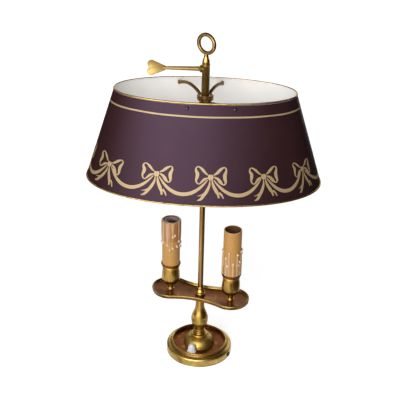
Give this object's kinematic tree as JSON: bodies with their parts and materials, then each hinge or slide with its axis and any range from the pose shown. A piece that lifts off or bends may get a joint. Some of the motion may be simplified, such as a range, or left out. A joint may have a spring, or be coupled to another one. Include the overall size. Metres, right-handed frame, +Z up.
{
  "type": "bouillotte lamp",
  "caption": "Bouillotte table lamp: dished brass foot with push switch, baluster, lobed tray with candle lampholders, and an oval painted metal shade clamped on a rod by a thumb screw.",
  "frame": {"origin": "middle of the foot's underside, on the table", "axes": "+Z up along the rod, +X along the tray towards the right-hand candle, -Y towards the push switch"},
  "size_m": [0.3264, 0.1986, 0.5068],
  "materials": {
    "brass_lacquered": "turned, aged lacquer",
    "brass_polished": "polished",
    "brass_bronzed": "brown patina",
    "gilt_bead": "gilt",
    "shade_paint": "satin aubergine outside, white inside",
    "candle_sleeve": "wax-like",
    "lampholder": "grey moulded",
    "switch_white": "white moulded",
    "black_bush": "black moulded",
    "insulation": "sheathed wire",
    "steel": "plain",
    "screw_dark": "darkened",
    "iron": "as cast",
    "felt": "felt",
    "gilt_paint": "hand-painted gilding on the shade"
  },
  "bodies": {
    "base": {"base_shell": "brass_lacquered", "base_weight": "iron", "base_plate": "steel", "base_pad": "felt", "cable_inlet_bush": "black_bush", "switch_body": "switch_white", "switch_ring_nut": "steel", "switch_spring": "steel", "dome": "brass_polished", "knop": "brass_polished", "baluster": "brass_lacquered", "stem_tube": "brass_lacquered", "stem_nut": "brass_lacquered", "stem_washer": "steel", "wiring": "insulation", "wiring_box": "brass_lacquered", "tray": "brass_bronzed", "tray_collar": "brass_polished", "rod": "brass_lacquered", "finial": "brass_lacquered", "cup_left": "brass_lacquered", "cup_right": "brass_lacquered", "cup_nuts": "brass_lacquered", "holder_post_left": "brass_lacquered", "holder_post_right": "brass_lacquered", "lampholder_left": "lampholder", "lampholder_right": "lampholder", "socket_shell_left": "brass_polished", "socket_shell_right": "brass_polished", "socket_contacts": "brass_polished"},
    "slider": {"slider_tube": "brass_lacquered", "slider_disc": "brass_lacquered", "slider_lock_nut": "brass_lacquered"},
    "shade": {"shade_spider": "brass_lacquered", "shade_wall": "shade_paint", "shade_top_bead": "gilt_bead", "shade_bottom_bead": "gilt_bead", "shade_screws": "screw_dark"},
    "thumb_screw": {"thumb_screw": "brass_polished"},
    "switch_button": {"switch_button": "switch_white"},
    "left_sleeve": {"sleeve_left": "candle_sleeve"},
    "right_sleeve": {"sleeve_right": "candle_sleeve"}
  },
  "joints": [
    {"name": "shade_height", "type": "slide", "parent": "base", "child": "slider", "axis": [0, 0, 1], "range_m": [-0.08, 0]},
    {"name": "shade_turn", "type": "hinge", "parent": "slider", "child": "shade", "pos_m": [0, 0, 0.408], "axis": [0, 0, 1], "continuous": true},
    {"name": "thumb_screw_turn", "type": "hinge", "parent": "slider", "child": "thumb_screw", "pos_m": [0, 0, 0.4565], "axis": [-0.9588, -0.284, 0], "range_deg": [0, 360]},
    {"name": "switch_press", "type": "slide", "parent": "base", "child": "switch_button", "axis": [0, 0, 1], "range_m": [-0.0015, 0], "stiffness_N_per_m": 1000, "springref_m": 0.001, "deforming": ["switch_spring"]},
    {"name": "left_sleeve_lift", "type": "slide", "parent": "base", "child": "left_sleeve", "axis": [0, 0, 1], "range_m": [0, 0.075]},
    {"name": "right_sleeve_lift", "type": "slide", "parent": "base", "child": "right_sleeve", "axis": [0, 0, 1], "range_m": [0, 0.075]}
  ]
}
